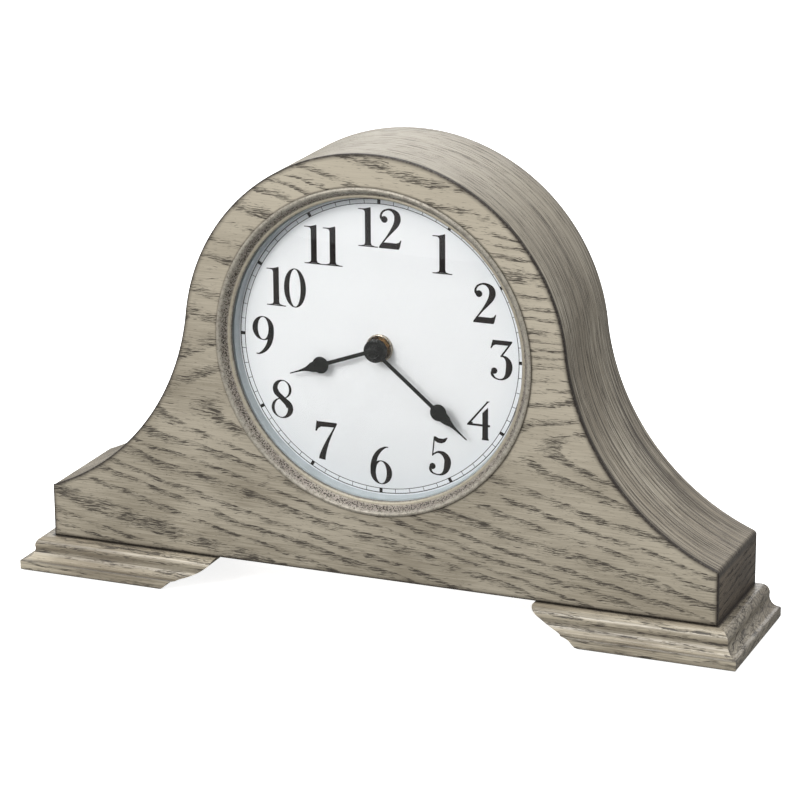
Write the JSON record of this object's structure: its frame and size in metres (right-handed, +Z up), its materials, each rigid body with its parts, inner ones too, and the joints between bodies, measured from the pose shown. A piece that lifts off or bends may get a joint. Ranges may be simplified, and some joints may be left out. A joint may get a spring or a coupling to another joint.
{
  "type": "mantel clock",
  "caption": "Tambour mantel clock: arched weathered-oak case on moulded feet, white dial with spade hands under domed glass, and a battery quartz chime movement behind a hinged door.",
  "frame": {"origin": "middle of the footprint, on the surface the felt pads stand on", "axes": "+Z up, -Y out of the dial, +X to the viewer's right"},
  "size_m": [0.3894, 0.0788, 0.2367],
  "materials": {
    "oak_face": "weathered grey glaze, satin",
    "oak_wrap": "weathered grey glaze, satin",
    "oak_foot": "weathered grey glaze, satin",
    "core_board": "raw",
    "back_ply": "dark stain",
    "hardboard": "raw hardboard",
    "felt": "felt",
    "screw_steel": "zinc plated",
    "pewter": "antique pewter, speckled",
    "clear_glass": "polished",
    "rehaut_grey": "satin",
    "dial_white": "satin white",
    "hand_black": "satin black",
    "brass": "polished",
    "nickel": "worn nickel",
    "movement_black": "moulded",
    "movement_grey": "moulded",
    "wheel_white": "acetal",
    "knob_black": "moulded",
    "bobbin_plastic": "moulded",
    "copper_wire": "enamelled copper",
    "stator_steel": "stamped",
    "board_green": "solder mask",
    "epoxy_black": "potting",
    "spring_steel": "nickel plated",
    "cell_jacket": "printed sleeve, plain",
    "cell_steel": "plated can",
    "speaker_steel": "painted",
    "cone_paper": "pressed paper",
    "ferrite": "ferrite between steel plates",
    "lead_red": "insulated wire",
    "magnet_grey": "moulded case",
    "rotor_magnet": "bonded magnet"
  },
  "bodies": {
    "case": {"face_panel": "oak_face", "front_board": "core_board", "case_wrap": "oak_wrap", "left_end": "oak_wrap", "right_end": "oak_wrap", "bottom_board": "core_board", "corner_blocks": "core_board", "back_panel": "back_ply", "back_screws": "screw_steel", "left_foot": "oak_foot", "right_foot": "oak_foot", "foot_screws": "screw_steel", "foot_pads": "felt", "bezel": "pewter", "crystal": "clear_glass", "dial_spacer": "rehaut_grey", "dial": "dial_white", "mounting_board": "hardboard", "mounting_screws": "screw_steel", "movement_housing": "movement_black", "movement_cover": "movement_grey", "movement_screws": "screw_steel", "centre_bush": "brass", "centre_nut": "nickel", "stator": "stator_steel", "coil_bobbin": "bobbin_plastic", "coil_winding": "copper_wire", "circuit_board": "board_green", "driver_chip": "epoxy_black", "quartz_can": "spring_steel", "switch_bodies": "spring_steel", "contact_plus": "spring_steel", "contact_minus": "spring_steel", "battery_can": "cell_steel", "battery_sleeve": "cell_jacket", "speaker_frame": "speaker_steel", "speaker_cone": "cone_paper", "speaker_magnet": "ferrite", "speaker_screws": "screw_steel", "speaker_leads": "lead_red", "door_magnet": "magnet_grey", "hinge_case_leaves": "brass", "hinge_pins": "brass"},
    "minute": {"centre_arbor": "brass", "minute_hand": "hand_black", "hand_cap": "hand_black"},
    "hour": {"hour_wheel": "wheel_white", "hour_hand": "hand_black"},
    "motion": {"motion_wheel": "wheel_white"},
    "third": {"third_wheel": "wheel_white"},
    "seconds": {"seconds_wheel": "wheel_white"},
    "intermediate": {"intermediate_wheel": "wheel_white"},
    "step_rotor": {"rotor": "rotor_magnet"},
    "setting": {"setting_knob": "knob_black"},
    "volume": {"volume_slider": "knob_black"},
    "chime": {"chime_slider": "knob_black"},
    "door": {"access_door": "back_ply", "door_knob": "brass", "door_strike": "spring_steel", "hinge_door_leaves": "brass"}
  },
  "joints": [
    {"name": "minute_spin", "type": "hinge", "parent": "case", "child": "minute", "pos_m": [0, 0, 0.1357], "axis": [0, 1, 0], "continuous": true},
    {"name": "hour_spin", "type": "hinge", "parent": "case", "child": "hour", "pos_m": [0, 0, 0.1357], "axis": [0, 1, 0], "continuous": true},
    {"name": "motion_spin", "type": "hinge", "parent": "case", "child": "motion", "pos_m": [-0.01128, 0, 0.1316], "axis": [0, 1, 0], "continuous": true},
    {"name": "third_spin", "type": "hinge", "parent": "case", "child": "third", "pos_m": [0.01474, 0, 0.14602], "axis": [0, 1, 0], "continuous": true},
    {"name": "seconds_spin", "type": "hinge", "parent": "case", "child": "seconds", "pos_m": [0.00951, 0, 0.1604], "axis": [0, 1, 0], "continuous": true},
    {"name": "intermediate_spin", "type": "hinge", "parent": "case", "child": "intermediate", "pos_m": [-0.0029, 0, 0.15821], "axis": [0, 1, 0], "continuous": true},
    {"name": "rotor_spin", "type": "hinge", "parent": "case", "child": "step_rotor", "pos_m": [-0.01305, 0, 0.15452], "axis": [0, 1, 0], "continuous": true},
    {"name": "setting_turn", "type": "hinge", "parent": "case", "child": "setting", "pos_m": [-0.01538, 0, 0.12032], "axis": [0, 1, 0], "continuous": true},
    {"name": "door_hinge", "type": "hinge", "parent": "case", "child": "door", "pos_m": [-0.0592, 0.03608, 0.1357], "axis": [0, 0, 1], "range_deg": [0, 105]},
    {"name": "volume_slide", "type": "slide", "parent": "case", "child": "volume", "axis": [1, 0, 0], "range_m": [-0.002, 0.002]},
    {"name": "chime_slide", "type": "slide", "parent": "case", "child": "chime", "axis": [1, 0, 0], "range_m": [-0.002, 0.002]}
  ],
  "couplings": [
    {"joint": "hour_spin", "follows": "minute_spin", "ratio": 0.083333},
    {"joint": "motion_spin", "follows": "minute_spin", "ratio": -0.33333},
    {"joint": "third_spin", "follows": "minute_spin", "ratio": -8},
    {"joint": "seconds_spin", "follows": "minute_spin", "ratio": 60},
    {"joint": "intermediate_spin", "follows": "minute_spin", "ratio": -360},
    {"joint": "rotor_spin", "follows": "minute_spin", "ratio": 1800},
    {"joint": "setting_turn", "follows": "minute_spin", "ratio": 1}
  ]
}
